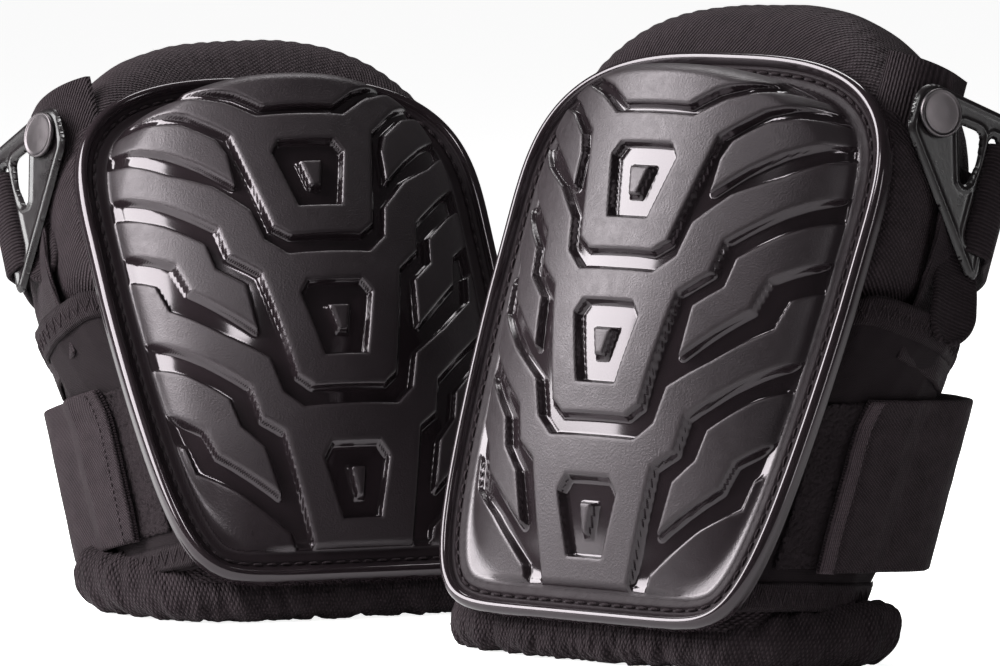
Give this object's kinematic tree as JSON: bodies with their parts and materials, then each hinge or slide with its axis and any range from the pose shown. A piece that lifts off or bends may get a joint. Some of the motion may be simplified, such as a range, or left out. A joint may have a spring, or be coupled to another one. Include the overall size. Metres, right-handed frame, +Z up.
{
  "type": "knee pads",
  "caption": "Pair of hard-cap gel knee pads with treaded domed caps, padded bodies, neoprene wings, elastic lower straps and clip-on upper straps, standing on their lower rolls.",
  "frame": {"origin": "middle of the pair on the surface that it stands on", "axes": "+X across the pair towards the right pad, +Y away from the viewer of the caps, +Z up"},
  "size_m": [0.3821, 0.3704, 0.2151],
  "materials": {
    "cap": "fine grain with gloss grooves",
    "thread": "thread",
    "foam": "closed cell foam",
    "oxford": "woven nylon",
    "gel": "soft gel",
    "mesh": "knit mesh",
    "neoprene": "neoprene",
    "tape": "binding tape",
    "loop": "loop pile",
    "elastic": "woven elastic",
    "hook": "hook",
    "webbing": "pile webbing",
    "clip": "moulded",
    "stud": "gunmetal"
  },
  "bodies": {
    "right_pad": {"right_cap_shell": "cap", "right_cap_stitches": "thread", "right_cap_core": "foam", "right_front_cover": "oxford", "right_comfort_foam": "foam", "right_gel_pad": "gel", "right_knee_lining": "mesh", "right_outer_gusset": "oxford", "right_inner_gusset": "oxford", "right_outer_wing": "neoprene", "right_inner_wing": "neoprene", "right_outer_wing_binding": "tape", "right_inner_wing_binding": "tape", "right_outer_hem_binding": "tape", "right_inner_hem_binding": "tape", "right_loop_patch": "loop", "right_lower_strap": "elastic", "right_upper_strap": "webbing", "right_stud_head": "stud", "right_stud_post": "stud", "right_stud_washer": "stud", "right_stud_patch": "oxford"},
    "right_clip": {"right_clip": "clip"},
    "right_tongue": {"right_strap_tongue": "webbing"},
    "right_strap_end": {"right_strap_end": "elastic", "right_hook_patch": "hook"},
    "left_pad": {"left_cap_shell": "cap", "left_cap_stitches": "thread", "left_cap_core": "foam", "left_front_cover": "oxford", "left_comfort_foam": "foam", "left_gel_pad": "gel", "left_knee_lining": "mesh", "left_outer_gusset": "oxford", "left_inner_gusset": "oxford", "left_outer_wing": "neoprene", "left_inner_wing": "neoprene", "left_outer_wing_binding": "tape", "left_inner_wing_binding": "tape", "left_outer_hem_binding": "tape", "left_inner_hem_binding": "tape", "left_loop_patch": "loop", "left_lower_strap": "elastic", "left_upper_strap": "webbing", "left_stud_head": "stud", "left_stud_post": "stud", "left_stud_washer": "stud", "left_stud_patch": "oxford"},
    "left_clip": {"left_clip": "clip"},
    "left_tongue": {"left_strap_tongue": "webbing"},
    "left_strap_end": {"left_strap_end": "elastic", "left_hook_patch": "hook"}
  },
  "joints": [
    {"name": "pair_slide", "type": "slide", "parent": "right_pad", "child": "left_pad", "axis": [-1, 0, 0], "range_m": [0, 0.1]},
    {"name": "right_clip_swivel", "type": "hinge", "parent": "right_pad", "child": "right_clip", "pos_m": [0.13814, -0.12043, 0.17753], "axis": [0.5376, -0.831, 0.1429], "range_deg": [-12, 12]},
    {"name": "right_tongue_lift", "type": "hinge", "parent": "right_clip", "child": "right_tongue", "pos_m": [0.15547, -0.12025, 0.15046], "axis": [-0.2618, -0.3257, -0.9085], "range_deg": [0, 60]},
    {"name": "right_strap_peel", "type": "hinge", "parent": "right_pad", "child": "right_strap_end", "pos_m": [0.14466, -0.13458, 0.05663], "axis": [0.2618, 0.3257, 0.9085], "range_deg": [0, 70]},
    {"name": "left_clip_swivel", "type": "hinge", "parent": "left_pad", "child": "left_clip", "pos_m": [-0.15925, 0.06134, 0.1599], "axis": [0.7677, 0.611, -0.1932], "range_deg": [-12, 12]},
    {"name": "left_tongue_lift", "type": "hinge", "parent": "left_clip", "child": "left_tongue", "pos_m": [-0.17402, 0.0622, 0.13137], "axis": [-0.2098, 0.5246, 0.8251], "range_deg": [0, 60]},
    {"name": "left_strap_peel", "type": "hinge", "parent": "left_pad", "child": "left_strap_end", "pos_m": [-0.1621, 0.0309, 0.04191], "axis": [0.2098, -0.5246, -0.8251], "range_deg": [0, 70]}
  ]
}
